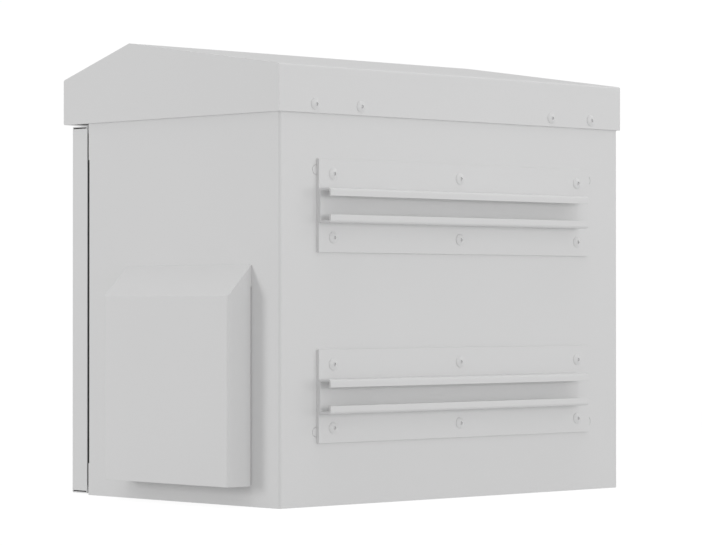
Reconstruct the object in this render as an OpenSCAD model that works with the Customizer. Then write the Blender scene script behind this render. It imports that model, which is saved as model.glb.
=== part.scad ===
// Wall-mount rack cabinet: folded sheet body, gabled roof, side vent hood and strut brackets on the back.
// Front faces -Y, back faces +Y, origin at the middle of the underside, millimetres.

/* [Body] */
// Width of the body over its side walls
body_w = 600; // [560:1:800]
// Depth of the body from back wall to front frame
body_d = 358; // [335:1:600]
// Height of the body from underside to top sheet
body_h = 490; // [450:1:700]
// Thickness of the body and door sheet
sheet_t = 1.5; // [1:0.1:2]
// Inside radius of the sheet folds
fold_r = 1; // [0.5:0.1:2]
// Outside radius of the two rear vertical edges
edge_r = 4; // [3:0.5:12]
// Clearance between sheets that nest or butt
sheet_fit = 0.2; // [0.1:0.05:0.3]
// Width of the side frame flanges at the door opening
frame_w = 24; // [22:1:30]
// Height of the sill under the door opening
sill_h = 30; // [26:1:36]
// Height of the sill's corner ears above the sill
sill_ear = 10; // [6:1:20]
// Drop of the header above the door opening
header_h = 52; // [46:1:60]
// Length of the header's corner ears below the header
header_ear = 15; // [6:1:20]
// Height of the side and rear flanges of the base and top pans
pan_flange = 20; // [18:1:24]

/* [Roof] */
// Thickness of the roof sheet
roof_t = 2; // [1.5:0.1:2.5]
// Clearance between the roof skirt and the body
roof_fit = 0.8; // [0.5:0.1:1]
// Height by which the roof skirt laps the body
roof_lap = 21.2; // [18:0.1:26]
// Height of the eaves above the body
eave_rise = 35.6; // [25:0.1:60]
// Height of the ridge above the body
ridge_rise = 75.2; // [65:0.1:110]
// Distance of the ridge from the back wall
ridge_set = 275; // [220:1:300]
// Reach of the roof in front of the body
roof_front = 47.5; // [42:0.5:80]
// Distance from the body's side to the outer roof screws
roof_screw_in = 55.5; // [40:0.5:80]
// Distance from the outer to the inner roof screws
roof_screw_step = 75; // [40:1:120]

/* [Wall brackets] */
// Distance from the body's side to a bracket plate's end
bracket_in = 60; // [40:1:90]
// Height of a bracket plate
bracket_h = 112; // [104:1:130]
// Thickness of a bracket plate
bracket_t = 4; // [2:0.1:6]
// Distance between the middles of the two brackets
bracket_pitch = 227.7; // [200:0.1:250]
// Distance from a plate's end to its outer screws
bracket_screw_in = 23.5; // [18:0.5:30]
// Distance from a plate's long edges to its screws
bracket_screw_edge = 18; // [14:0.5:20]
// Height of the strut channel
strut_h = 41.3; // [36:0.1:46]
// Depth of the strut channel
strut_d = 20.6; // [18:0.1:41.3]
// Thickness of the strut channel
strut_t = 2.5; // [1.5:0.1:3]
// Width of the strut channel's slot
strut_slot = 22; // [18:0.1:24]
// Length by which the strut channel stops short of one end of its plate
strut_short = 23.5; // [0:0.5:40]
// Radius of the flush plugs in the back
plug_r = 6; // [4:0.1:8]
// Distance of the plugs' middles past a plate's end
plug_past = 1; // [0:0.1:6]
// Distance of the plugs from the middle of their bracket
plug_rise = 42.6; // [36:0.1:50]

/* [Vent hood] */
// Width of the hood along the side wall
hood_w = 231; // [210:1:260]
// Height of the hood along the side wall
hood_h = 264; // [240:0.5:330]
// Distance of the hood's face from the side wall
hood_out = 38; // [30:0.5:60]
// Height of the hood's open bottom above the underside
hood_z = 24.5; // [15:0.5:40]
// Distance from the back wall to the hood
hood_back = 49; // [40:1:60]
// Thickness of the hood sheet
hood_t = 1.5; // [1:0.1:2]
// Outside radius of the hood's vertical folds
hood_r = 3.5; // [2.5:0.1:6]
// Width of the hood's inward fixing flanges
hood_flange = 16; // [14:0.5:20]

/* [Fan] */
// Width of the square fan
fan_size = 120; // [112:1:124]
// Depth of the fan frame
fan_depth = 38; // [36:0.5:42]
// Diameter of the air way through fan, filter and wall
fan_bore = 115; // [100:1:116]
// Distance between the fan's fixing holes
fan_pitch = 105; // [104:0.5:107]
// Height of the fan's middle above the hood's bottom
fan_rise = 131.5; // [125:0.5:150]
// Diameter of the fan's hub
fan_hub = 42; // [36:1:48]
// Running gap between the blade tips and the frame
fan_tip_gap = 2; // [1:0.1:4]
// Number of fan blades
fan_blades = 7; // [5:1:7]
// Width of the square filter frame
filter_size = 150; // [140:1:156]
// Depth of the filter frame
filter_t = 12; // [8:0.5:16]

/* [Door] */
// Depth of the door pan
door_d = 31; // [28:0.5:38]
// Gap between the door and the front frame
door_gap = 3; // [2.5:0.1:4]
// Gap between the seal and the front frame
seal_gap = 0.3; // [0.2:0.05:0.5]
// Height of the door's lower edge above the underside
door_low = 2; // [1:0.1:8]
// Gap between the door's upper edge and the roof
door_top_gap = 2.8; // [2:0.1:8]
// Outside radius of the door's front folds
door_r = 3; // [2.5:0.1:5]
// Width of the door's inward rear return
door_return = 22; // [20:0.5:26]
// Width of the open seams at the corners of the door pan
seam_gap = 1.4; // [0.8:0.1:2]
// Distance from the door's edge to its seal
seal_in = 1; // [0.5:0.5:5]
// Width of the door seal
seal_w = 12; // [8:0.5:14]
// Distance between the middles of the two hinges
hinge_pitch = 300; // [240:1:340]
// Height of a hinge
hinge_len = 60; // [50:1:80]
// Width of a hinge leaf
leaf_w = 26; // [22:0.5:28]
// Thickness of a hinge leaf
leaf_t = 2; // [1.5:0.1:2.5]
// Radius of the hinge knuckles
knuckle_r = 4.5; // [4:0.1:6]
// Radius of the hinge pins
pin_r = 2.2; // [1.5:0.1:2.2]
// Distance between the two latches
latch_pitch = 260; // [200:1:320]
// Distance from the frame flange to the latches
latch_in = 26; // [22:0.5:34]
// Radius of the latch bezels
bezel_r = 14; // [13:0.5:17]
// Radius of the latch barrels
barrel_r = 10; // [9:0.1:11]
// Reach of a latch cam from its axis
cam_reach = 38; // [34:0.5:44]
// Width of a latch cam
cam_w = 18; // [16:0.5:20]
// Thickness of a latch cam
cam_t = 3; // [2:0.1:4]

/* [Rack] */
// Distance from the body's side to the clear opening between the rack rails
rack_side = 75; // [70:1:80]
// Distance from a rail's inner edge to its hole centres
rail_hole_in = 7.55; // [6.5:0.05:9]
// Width of a rail's square holes
rail_hole = 9.5; // [8:0.1:10]
// Width of a rail's face
rail_face = 22; // [18:0.5:28]
// Depth of a rail's side
rail_side = 30; // [24:0.5:34]
// Thickness of the rails and bearers
rail_t = 2; // [1.5:0.1:2.5]
// Distance from the front frame to the rails
rail_set = 50; // [44:1:60]
// Length of a rail past the door opening at each end
rail_over = 6; // [4:0.5:8]
// Height of a bearer's face
bearer_face = 26; // [22:0.5:30]
// Width of a bearer's wall lips
bearer_lip = 9; // [7:0.5:12]
// Distance of the bearers from front frame and back wall
bearer_end = 28; // [24:1:36]
// Distance from a rail's end to the middle of its bearer
bearer_in = 26; // [25:0.5:32]

/* [Cable entry] */
// Width of the cable entry in the base
entry_w = 300; // [200:1:340]
// Depth of the cable entry in the base
entry_d = 90; // [60:1:100]
// Distance from the back wall to the middle of the cable entry
entry_back = 85; // [80:1:110]
// Lap of the blank gland plate round the cable entry
entry_lap = 16; // [14:0.5:18]
// Thickness of the gland plate and of its seal
gland_t = 2; // [1.5:0.1:3]

/* [Fasteners] */
// Radius of the larger screws
screw_r = 3; // [2.5:0.1:3]
// Radius of the larger screws' heads
head_r = 7; // [6:0.1:7.5]
// Height of the larger screws' heads
head_h = 2.8; // [2.5:0.1:4]
// Radius of the smaller screws
small_r = 2; // [1.5:0.1:2]
// Clearance of a screw in its hole
hole_fit = 0.25; // [0.1:0.05:0.4]
// Clearance of a turning pin or shaft
run_fit = 0.05; // [0.02:0.01:0.1]

/* [Hidden] */
$fn = 64;
eps = 1;

paint = [0.80, 0.80, 0.80];
zinc = [0.72, 0.73, 0.74];
steel = [0.62, 0.63, 0.65];
black = [0.10, 0.10, 0.11];
felt = [0.88, 0.88, 0.86];

half_w = body_w / 2;
back_y = body_d / 2;
front_y = -body_d / 2;
in_x = half_w - sheet_t;
in_back = back_y - sheet_t;
in_front = front_y + sheet_t;
nest_x = in_x - sheet_fit;
nest_back = in_back - sheet_fit;
bend_r = fold_r + sheet_t;
opening_z0 = sill_h;
opening_z1 = body_h - header_h;
flange_z0 = opening_z0 + sill_ear + sheet_fit;
flange_z1 = opening_z1 - header_ear - sheet_fit;
frame_x = half_w - frame_w;

roof_x = half_w + roof_fit + roof_t;
roof_back = back_y + roof_fit + roof_t;
roof_nose = front_y - roof_front;
roof_z0 = body_h - roof_lap;
eave_z = body_h + eave_rise;
ridge_z = body_h + ridge_rise;
ridge_y = back_y - ridge_set;
roof_screw_z = body_h - roof_lap / 2;
roof_screw_xs = [half_w - roof_screw_in, half_w - roof_screw_in - roof_screw_step];
soffit_lip = roof_lap - 4;
roof_fold = fold_r + roof_t;

bracket_w = body_w - 2 * bracket_in;
bracket_zs = [body_h / 2 + bracket_pitch / 2, body_h / 2 - bracket_pitch / 2];
bracket_xs = [-1, 0, 1] * (bracket_w / 2 - bracket_screw_in);
bracket_dzs = [-1, 1] * (bracket_h / 2 - bracket_screw_edge);
strut_fold = fold_r + strut_t;
plug_x = bracket_w / 2 + plug_past;
plug_zs = [bracket_zs[0] + plug_rise, bracket_zs[1] - plug_rise];
plug_fit = 0.5;
plug_rim = 2;

rail_opening = body_w - 2 * rack_side;
rail_out = rail_opening / 2 + rail_face;
rail_y = front_y + rail_set;
rail_z0 = opening_z0 - rail_over;
rail_z1 = opening_z1 + rail_over;
rail_fold = fold_r + rail_t;
unit_h = 44.45;
hole_steps = [6.35, 22.225, 38.1];
units = floor((opening_z1 - opening_z0) / unit_h);
units_z0 = (opening_z0 + opening_z1 - units * unit_h) / 2;
bearer_zs = [rail_z0 + bearer_in, rail_z1 - bearer_in];
bearer_len = body_d - 2 * bearer_end;
rail_screw_y = rail_y + (rail_t + rail_side) / 2;

hood_y = back_y - hood_back - hood_w / 2;
hood_top = hood_z + hood_h;
hood_x = half_w + hood_out;
hood_bend = fold_r + hood_t;
hood_fold_top = hood_top - hood_flange - 11;
fan_y = hood_y;
bearer_top = bearer_zs[0] + bearer_face / 2 + bearer_lip;
fan_z = max(hood_z + fan_rise, bearer_top + filter_size / 2 + eps);
hood_screw_y = hood_w / 2 - hood_t - hood_flange / 2;
hood_screw_z = filter_size / 2 - 2 * hood_flange;
fan_x = in_x - filter_t;
fan_end = fan_x - fan_depth;
guard_t = 1.5;

door_back = front_y - door_gap;
door_face = door_back - door_d;
door_top = roof_z0 - door_top_gap;
door_h = door_top - door_low;
door_mid = (door_low + door_top) / 2;
seal_t = door_gap - seal_gap;
knuckle_fit = 0.5;
pin_x = -half_w - knuckle_r - knuckle_fit;
pin_y = front_y - door_gap / 2;
hinge_zs = [door_mid - hinge_pitch / 2, door_mid + hinge_pitch / 2];
leaf_dip = knuckle_r + knuckle_fit - leaf_t;
leaf_relief = sqrt(knuckle_r * knuckle_r - leaf_dip * leaf_dip) + knuckle_fit;
leaf_screw_dz = hinge_len / 4;
leaf_screw_y = leaf_w * 0.62;
knuckle_gap = 0.4;

latch_x = frame_x - latch_in;
latch_zs = [door_mid - latch_pitch / 2, door_mid + latch_pitch / 2];
cam_gap = 1.5;
cam_y = in_front + cam_gap;
bezel_t = 3;
barrel_end = front_y;
nut_t = 5;
key_w = 8;
key_depth = 8;
rotor_head_r = barrel_r - 2.5;
rotor_head_t = 6;
rotor_r = barrel_r - 4;
rotor_face = door_face - bezel_t + 0.5;
cam_square = 8;
cam_fit = 0.1;
cam_screw_r = 2.5;

entry_y = back_y - entry_back;
entry_r = 6;
gland_z = sheet_t + gland_t;

function unit(v) = v / norm(v);
function half_angle(p, a, b) = acos(unit(a - p) * unit(b - p)) / 2;
function corner(p, a, b, r) =
    r == 0 ? [p] : [for (q = [a, b]) p + unit(q - p) * r / tan(half_angle(p, a, b))];
function corner_centre(p, a, b, r) =
    p + unit(unit(a - p) + unit(b - p)) * r / sin(half_angle(p, a, b));

// Outline through points, each corner rounded to its own radius by a true arc
module rounded(points, radii) {
    n = len(points);
    polygon([
        for (i = [0 : n - 1])
            each corner(points[i], points[(i + n - 1) % n], points[(i + 1) % n], radii[i])
    ]);
    for (i = [0 : n - 1])
        if (radii[i] > 0)
            translate(corner_centre(points[i], points[(i + n - 1) % n], points[(i + 1) % n], radii[i]))
                circle(radii[i]);
}

// Rectangle from low corner to high corner, all corners of one radius
module round_rect(low, high, r) {
    rounded([low, [high.x, low.y], high, [low.x, high.y]], [r, r, r, r]);
}

// Slot with round ends along X, centred
module slot(length, width) {
    square([length - width, width], center = true);
    for (side = [-1, 1])
        translate([side * (length - width) / 2, 0])
            circle(width / 2);
}

// Extrudes a YZ outline along X, centred
module along_x(length) {
    rotate([90, 0, 90])
        linear_extrude(length, center = true)
            children();
}

// Extrudes an XZ outline along -Y from y to y - length
module along_y(y, length) {
    translate([0, y, 0])
        rotate([90, 0, 0])
            linear_extrude(length)
                children();
}

module both_sides() {
    children();
    mirror([1, 0, 0])
        children();
}

// Button-head screw, head above z = 0, shank below, hexagon socket in the head
module button_screw(r, head, rise, length) {
    rim = rise / 4;
    dome = rise - rim;
    dome_r = (head * head + dome * dome) / (2 * dome);
    difference() {
        union() {
            rotate_extrude()
                intersection() {
                    translate([0, rise - dome_r])
                        circle(dome_r);
                    square([head, rise]);
                }
            translate([0, 0, -length])
                cylinder(r = r, h = length + rim);
        }
        translate([0, 0, rise / 3])
            cylinder(r = r * 0.8, h = rise, $fn = 6);
    }
}

// Hexagon nut above z = 0 on a screw of radius r
module hex_nut(r, height) {
    difference() {
        cylinder(r = r * 2, h = height, $fn = 6);
        translate([0, 0, -eps])
            cylinder(r = r + run_fit, h = height + 2 * eps);
    }
}

// Places a child made above z = 0 so that it stands out along the named direction
module facing(direction) {
    turn = direction == "+x" ? [0, 90, 0]
        : direction == "-x" ? [0, -90, 0]
        : direction == "+y" ? [-90, 0, 0]
        : direction == "-y" ? [90, 0, 0]
        : direction == "-z" ? [180, 0, 0] : [0, 0, 0];
    rotate(turn)
        children();
}

module at_bracket_screws(y) {
    for (z = bracket_zs, dz = bracket_dzs, x = bracket_xs)
        translate([x, y, z + dz])
            children();
}

module at_roof_screws(y) {
    for (side = [-1, 1], x = roof_screw_xs)
        translate([side * x, y, roof_screw_z])
            children();
}

module at_plugs(y) {
    for (side = [-1, 1], z = plug_zs)
        translate([side * plug_x, y, z])
            children();
}

module at_fan_screws(x) {
    for (dy = [-1, 1], dz = [-1, 1])
        translate([x, fan_y + dy * fan_pitch / 2, fan_z + dz * fan_pitch / 2])
            children();
}

module at_hood_screws(x) {
    for (dy = [-1, 1], dz = [-1, 1])
        translate([x, hood_y + dy * hood_screw_y, fan_z + dz * hood_screw_z])
            children();
}

module at_leaf_screws(side) {
    for (z = hinge_zs, dz = [-1, 1] * leaf_screw_dz)
        translate([-half_w, pin_y + side * leaf_screw_y, z + dz])
            children();
}

module at_rail_screws(x) {
    for (z = bearer_zs)
        translate([x, rail_screw_y, z])
            children();
}

module at_latches(y) {
    for (z = latch_zs)
        translate([latch_x, y, z])
            children();
}

module at_gland_screws(z) {
    for (x = [-1, 0, 1] * (entry_w + entry_lap) / 2, side = [-1, 1])
        translate([x, entry_y + side * (entry_d + entry_lap) / 2, z])
            children();
}

// Plan of the wrap: back and two sides, rear edges rounded
module wrap_plan() {
    difference() {
        rounded(
            [[-half_w, front_y], [half_w, front_y], [half_w, back_y], [-half_w, back_y]],
            [0, 0, edge_r, edge_r]
        );
        rounded(
            [[-in_x, front_y - eps], [in_x, front_y - eps], [in_x, in_back], [-in_x, in_back]],
            [0, 0, edge_r - sheet_t, edge_r - sheet_t]
        );
    }
}

// Plan of the wrap where the side walls fold inward at the front
module wrap_plan_flanged() {
    difference() {
        rounded(
            [[-half_w, front_y], [half_w, front_y], [half_w, back_y], [-half_w, back_y]],
            [bend_r, bend_r, edge_r, edge_r]
        );
        rounded(
            [[-in_x, in_front], [in_x, in_front], [in_x, in_back], [-in_x, in_back]],
            [fold_r, fold_r, edge_r - sheet_t, edge_r - sheet_t]
        );
        translate([-frame_x, front_y - eps])
            square([2 * frame_x, sheet_t + 2 * eps]);
    }
}

module body_wrap() {
    color(paint)
        difference() {
            union() {
                linear_extrude(flange_z0)
                    wrap_plan();
                translate([0, 0, flange_z0])
                    linear_extrude(flange_z1 - flange_z0)
                        wrap_plan_flanged();
                translate([0, 0, flange_z1])
                    linear_extrude(body_h - flange_z1)
                        wrap_plan();
            }
            at_bracket_screws(in_back - eps)
                facing("+y")
                    cylinder(r = screw_r + hole_fit, h = sheet_t + 2 * eps);
            at_roof_screws(in_back - eps)
                facing("+y")
                    cylinder(r = screw_r + hole_fit, h = sheet_t + 2 * eps);
            at_plugs(in_back - eps)
                facing("+y")
                    cylinder(r = plug_r, h = sheet_t + 2 * eps);
            translate([in_x - eps, fan_y, fan_z])
                facing("+x")
                    cylinder(d = fan_bore, h = sheet_t + 2 * eps);
            at_fan_screws(in_x - eps)
                facing("+x")
                    cylinder(r = small_r + hole_fit, h = sheet_t + 2 * eps);
            at_hood_screws(in_x - eps)
                facing("+x")
                    cylinder(r = small_r + hole_fit, h = sheet_t + 2 * eps);
            at_leaf_screws(1)
                translate([-eps, 0, 0])
                    facing("+x")
                        cylinder(r = small_r + hole_fit, h = sheet_t + 2 * eps);
        }
}

// Plan of a pan that nests inside the wrap
module pan_plan(inset) {
    r = edge_r - sheet_t - sheet_fit;
    rounded(
        [
            [-nest_x + inset, front_y + inset], [nest_x - inset, front_y + inset],
            [nest_x - inset, nest_back - inset], [-nest_x + inset, nest_back - inset]
        ],
        [0, 0, max(r - inset, fold_r), max(r - inset, fold_r)]
    );
}

// Tray folded up on all sides, its front flange taller and with corner ears
module folded_pan(front_h, ear_h) {
    difference() {
        linear_extrude(front_h + ear_h)
            pan_plan(0);
        translate([0, 0, sheet_t])
            linear_extrude(front_h + ear_h)
                pan_plan(sheet_t);
        translate([-half_w, in_front, pan_flange])
            cube([body_w, body_d, front_h + ear_h]);
        translate([-frame_x, front_y - eps, front_h])
            cube([2 * frame_x, sheet_t + 2 * eps, ear_h + eps]);
    }
}

module base_pan() {
    color(paint)
        difference() {
            folded_pan(sill_h, sill_ear);
            translate([0, 0, -eps])
                linear_extrude(sheet_t + 2 * eps)
                    round_rect(
                        [-entry_w / 2, entry_y - entry_d / 2],
                        [entry_w / 2, entry_y + entry_d / 2],
                        entry_r
                    );
            at_gland_screws(-eps)
                cylinder(r = small_r + hole_fit, h = sheet_t + 2 * eps);
        }
}

// Air slots of the top sheet, in rows over the depth of the body
module top_slots() {
    slot_l = 60;
    slot_w = 6;
    pitch_x = 90;
    pitch_y = 16;
    columns = floor((body_w - 120) / pitch_x);
    rows = 5;
    for (i = [0 : columns - 1], j = [0 : rows - 1])
        translate([(i - (columns - 1) / 2) * pitch_x, (j - (rows - 1) / 2) * pitch_y])
            slot(slot_l, slot_w);
}

module top_pan() {
    color(paint)
        difference() {
            translate([0, 0, body_h])
                mirror([0, 0, 1])
                    folded_pan(header_h, header_ear);
            translate([0, 0, body_h - sheet_t - eps])
                linear_extrude(sheet_t + 2 * eps)
                    top_slots();
            at_roof_screws(nest_back - sheet_t - eps)
                facing("+y")
                    cylinder(r = screw_r + hole_fit, h = sheet_t + 2 * eps);
            at_roof_screws(front_y - eps)
                facing("+y")
                    cylinder(r = screw_r + hole_fit, h = sheet_t + 2 * eps);
        }
}

// Gable outline of the roof in YZ, moved inward by inset
module gable(inset, bottom, fold, nose) {
    rear_a = atan((ridge_z - eave_z) / (roof_back - ridge_y));
    front_a = atan((ridge_z - eave_z) / (ridge_y - roof_nose));
    rear_drop = inset / cos(rear_a);
    front_drop = inset / cos(front_a);
    shift = (front_drop - rear_drop) / (tan(rear_a) + tan(front_a));
    rounded(
        [
            [roof_nose + inset, bottom],
            [roof_back - inset, bottom],
            [roof_back - inset, eave_z - rear_drop + inset * tan(rear_a)],
            [ridge_y + shift, ridge_z - rear_drop - shift * tan(rear_a)],
            [roof_nose + inset, eave_z - front_drop + inset * tan(front_a)]
        ],
        [nose, 0, fold, fold, fold]
    );
}

// Exhaust slots of the soffit under the front overhang
module soffit_slots() {
    slot_l = 50;
    slot_w = 5;
    pitch = 70;
    count = floor((body_w - 60) / pitch);
    slot_y = (roof_nose + front_y) / 2;
    for (i = [0 : count - 1])
        translate([(i - (count - 1) / 2) * pitch, slot_y])
            slot(slot_l, slot_w);
}

module roof_hood() {
    lip_front = front_y - roof_fit - roof_t;
    color(paint)
        difference() {
            union() {
                difference() {
                    along_x(2 * roof_x)
                        gable(0, roof_z0, roof_fold, roof_t);
                    along_x(2 * (roof_x - roof_t))
                        gable(roof_t, roof_z0 + roof_t, fold_r, 0);
                    translate([-roof_x + roof_t, lip_front, roof_z0 - eps])
                        cube([2 * (roof_x - roof_t), roof_back - roof_t - lip_front, roof_t + 2 * eps]);
                }
                translate([-roof_x + roof_t, lip_front, roof_z0])
                    cube([2 * (roof_x - roof_t), roof_t, soffit_lip]);
            }
            translate([0, 0, roof_z0 - eps])
                linear_extrude(roof_t + 2 * eps)
                    soffit_slots();
            at_roof_screws(roof_back - roof_t - eps)
                facing("+y")
                    cylinder(r = screw_r + hole_fit, h = roof_t + 2 * eps);
            at_roof_screws(lip_front - eps)
                facing("+y")
                    cylinder(r = screw_r + hole_fit, h = roof_t + 2 * eps);
        }
}

rear_grip = roof_t + roof_fit + 2 * sheet_t + sheet_fit;
front_grip = roof_t + roof_fit + sheet_t;
roof_nut_h = 4;

module roof_screws() {
    color(paint)
        at_roof_screws(roof_back)
            facing("+y")
                button_screw(screw_r, head_r, head_h, rear_grip + roof_nut_h);
    color(zinc)
        at_roof_screws(in_front)
            facing("+y")
                button_screw(screw_r, head_r, head_h, front_grip + roof_nut_h);
}

module roof_nuts() {
    color(zinc) {
        at_roof_screws(roof_back - rear_grip)
            facing("-y")
                hex_nut(screw_r, roof_nut_h);
        at_roof_screws(in_front - front_grip)
            facing("-y")
                hex_nut(screw_r, roof_nut_h);
    }
}

module bracket_plate(z) {
    corner_r = 1;
    color(paint)
        difference() {
            translate([0, 0, z])
                along_y(back_y + bracket_t, bracket_t)
                    round_rect([-bracket_w, -bracket_h] / 2, [bracket_w, bracket_h] / 2, corner_r);
            at_bracket_screws(back_y - eps)
                facing("+y")
                    cylinder(r = screw_r + hole_fit, h = bracket_t + 2 * eps);
        }
}

module bracket_plate_upper() bracket_plate(bracket_zs[0]);
module bracket_plate_lower() bracket_plate(bracket_zs[1]);

// Section of the strut channel in YZ: web on the plate, plain lips beside the slot
module strut_section() {
    half = strut_h / 2;
    edge = strut_slot / 2;
    difference() {
        round_rect([0, -half], [strut_d, half], strut_fold);
        round_rect([strut_t, -half + strut_t], [strut_d - strut_t, half - strut_t], fold_r);
        translate([strut_t + fold_r, -edge])
            square([strut_d, strut_slot]);
    }
}

module strut_channel(z) {
    color(paint)
        translate([strut_short / 2, back_y + bracket_t, z])
            along_x(bracket_w - strut_short)
                strut_section();
}

module strut_channel_upper() strut_channel(bracket_zs[0]);
module strut_channel_lower() strut_channel(bracket_zs[1]);

bracket_grip = bracket_t + sheet_t;
bracket_nut_h = 4;

module bracket_screws() {
    color(paint)
        at_bracket_screws(back_y + bracket_t)
            facing("+y")
                button_screw(screw_r, head_r, head_h, bracket_grip + bracket_nut_h);
}

module bracket_nuts() {
    color(zinc)
        at_bracket_screws(in_back)
            facing("-y")
                hex_nut(screw_r, bracket_nut_h);
}

module hole_plugs() {
    color(paint)
        at_plugs(in_back)
            facing("+y")
                union() {
                    cylinder(r = plug_r - plug_fit, h = sheet_t);
                    translate([0, 0, -sheet_t])
                        cylinder(r = plug_r + plug_rim, h = sheet_t);
                }
}

// Plan of the hood, moved inward by inset, its wall-side corners of radius bend
module hood_plan(inset, bend) {
    wall = half_w + inset;
    face = hood_x - inset;
    y0 = hood_y - hood_w / 2 + inset;
    y1 = hood_y + hood_w / 2 - inset;
    rounded(
        [[wall, y0], [face, y0], [face, y1], [wall, y1]],
        [bend, hood_r - inset, hood_r - inset, bend]
    );
}

// Form of the hood, moved inward by inset: 45 degree top, side folds round up to the top flange
module hood_form(inset, bottom) {
    slope_drop = inset * sqrt(2);
    face = hood_x - inset;
    intersection() {
        along_y(hood_y + hood_w / 2, hood_w)
            polygon([
                [half_w, bottom],
                [face, bottom],
                [face, hood_top - hood_out + inset - slope_drop],
                [half_w, hood_top - slope_drop]
            ]);
        union() {
            translate([0, 0, bottom])
                linear_extrude(hood_fold_top - bottom)
                    hood_plan(inset, hood_bend - inset);
            translate([0, 0, hood_fold_top])
                linear_extrude(hood_h)
                    hood_plan(inset, 0);
        }
    }
}

module vent_hood() {
    inner_w = hood_w - 2 * (hood_t + hood_flange);
    color(paint)
        difference() {
            hood_form(0, hood_z);
            hood_form(hood_t, hood_z - eps);
            translate([half_w - eps, hood_y - inner_w / 2, hood_z - eps])
                cube([hood_t + 2 * eps, inner_w, hood_h - hood_flange]);
            at_hood_screws(half_w - eps)
                facing("+x")
                    cylinder(r = small_r + hole_fit, h = hood_t + 2 * eps);
        }
}

small_head_r = small_r * 2;
small_head_h = small_r;
hood_screw_tip = 3;

module hood_screws() {
    color(zinc)
        at_hood_screws(in_x)
            facing("-x")
                button_screw(small_r, small_head_r, small_head_h, sheet_t + hood_t + hood_screw_tip);
}

// Square outline with a round air way and four fixing holes, in the fan's own plane
module fan_plate(size, r, bore) {
    difference() {
        round_rect([-size, -size] / 2, [size, size] / 2, r);
        circle(d = bore);
        fan_holes();
    }
}

module fan_holes() {
    for (dx = [-1, 1], dy = [-1, 1])
        translate([dx, dy] * fan_pitch / 2)
            circle(small_r + hole_fit);
}

// Fan frame of reference: z = 0 on the inlet face, z rising into the cabinet
module on_fan(x) {
    translate([x, fan_y, fan_z])
        facing("-x")
            children();
}

module filter_frame() {
    corner_r = 6;
    color(black)
        on_fan(in_x)
            linear_extrude(filter_t)
                fan_plate(filter_size, corner_r, fan_bore);
}

module filter_mat() {
    mat_fit = 0.3;
    color(felt)
        on_fan(in_x)
            translate([0, 0, mat_fit])
                cylinder(d = fan_bore - 2 * mat_fit, h = filter_t - 2 * mat_fit);
}

arm_w = 6;
arm_t = 5;
bearing_r = 6;
shaft_r = 2.5;
rotor_in = 4;
hub_wall = 2;
rotor_gap = 3;
rotor_h = fan_depth - arm_t - rotor_gap - rotor_in;

module fan_frame() {
    corner_r = 7;
    arm_z = fan_depth - arm_t;
    bearing_z = rotor_in + hub_wall + rotor_gap;
    color(black)
        on_fan(fan_x)
            difference() {
                union() {
                    linear_extrude(fan_depth)
                        fan_plate(fan_size, corner_r, fan_bore);
                    translate([0, 0, arm_z])
                        linear_extrude(arm_t)
                            intersection() {
                                circle(d = fan_bore + eps);
                                union() {
                                    circle(d = fan_hub);
                                    for (a = [45, 135])
                                        rotate(a)
                                            square([fan_bore + 2 * eps, arm_w], center = true);
                                }
                            }
                    translate([0, 0, bearing_z])
                        cylinder(r = bearing_r, h = fan_depth - bearing_z);
                }
                translate([0, 0, bearing_z - eps])
                    cylinder(r = shaft_r + run_fit, h = fan_depth);
            }
}

// One cambered blade: a strip of a thin tube, cut to the blade's ring
module fan_blade() {
    blade_t = 1.8;
    camber_r = 40;
    height = rotor_h - hub_wall;
    chord = norm([height, height]);
    offset_d = sqrt(camber_r * camber_r - chord * chord / 4);
    tip_r = fan_bore / 2 - fan_tip_gap;
    root_r = fan_hub / 2 - hub_wall / 2;
    intersection() {
        difference() {
            cylinder(r = tip_r, h = height);
            translate([0, 0, -eps])
                cylinder(r = root_r, h = height + 2 * eps);
        }
        translate([0, offset_d / sqrt(2), height / 2 - offset_d / sqrt(2)])
            rotate([0, 90, 0])
                difference() {
                    cylinder(r = camber_r + blade_t / 2, h = tip_r);
                    translate([0, 0, -eps])
                        cylinder(r = camber_r - blade_t / 2, h = tip_r + 2 * eps);
                }
        translate([0, -height / 2 - eps, 0])
            cube([tip_r, height + 2 * eps, height]);
    }
}

module fan_rotor() {
    color(black)
        on_fan(fan_x)
            translate([0, 0, rotor_in])
                union() {
                    difference() {
                        cylinder(d = fan_hub, h = rotor_h);
                        translate([0, 0, hub_wall])
                            cylinder(r = fan_hub / 2 - hub_wall, h = rotor_h);
                    }
                    cylinder(r = shaft_r, h = fan_depth - rotor_in - 1);
                    for (i = [0 : fan_blades - 1])
                        rotate(i * 360 / fan_blades)
                            fan_blade();
                }
}

module fan_guard() {
    ring_w = 3;
    ring_pitch = 12;
    outer = fan_bore / 2 + ring_w;
    rings = floor(outer / ring_pitch);
    ear_r = 5;
    color(zinc)
        on_fan(fan_end)
            linear_extrude(guard_t)
                difference() {
                    union() {
                        for (i = [0 : rings - 1])
                            difference() {
                                circle(outer - i * ring_pitch);
                                circle(outer - i * ring_pitch - ring_w);
                            }
                        for (a = [45, 135])
                            rotate(a)
                                square([fan_pitch * sqrt(2), ring_w], center = true);
                        for (dx = [-1, 1], dy = [-1, 1])
                            translate([dx, dy] * fan_pitch / 2)
                                circle(ear_r);
                    }
                    fan_holes();
                }
}

fan_nut_h = 3.2;

module fan_screws() {
    color(zinc)
        at_fan_screws(fan_end - guard_t)
            facing("-x")
                button_screw(
                    small_r, small_head_r, small_head_h,
                    guard_t + fan_depth + filter_t + sheet_t + fan_nut_h
                );
}

module fan_nuts() {
    color(zinc)
        at_fan_screws(half_w)
            facing("+x")
                hex_nut(small_r, fan_nut_h);
}

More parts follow.
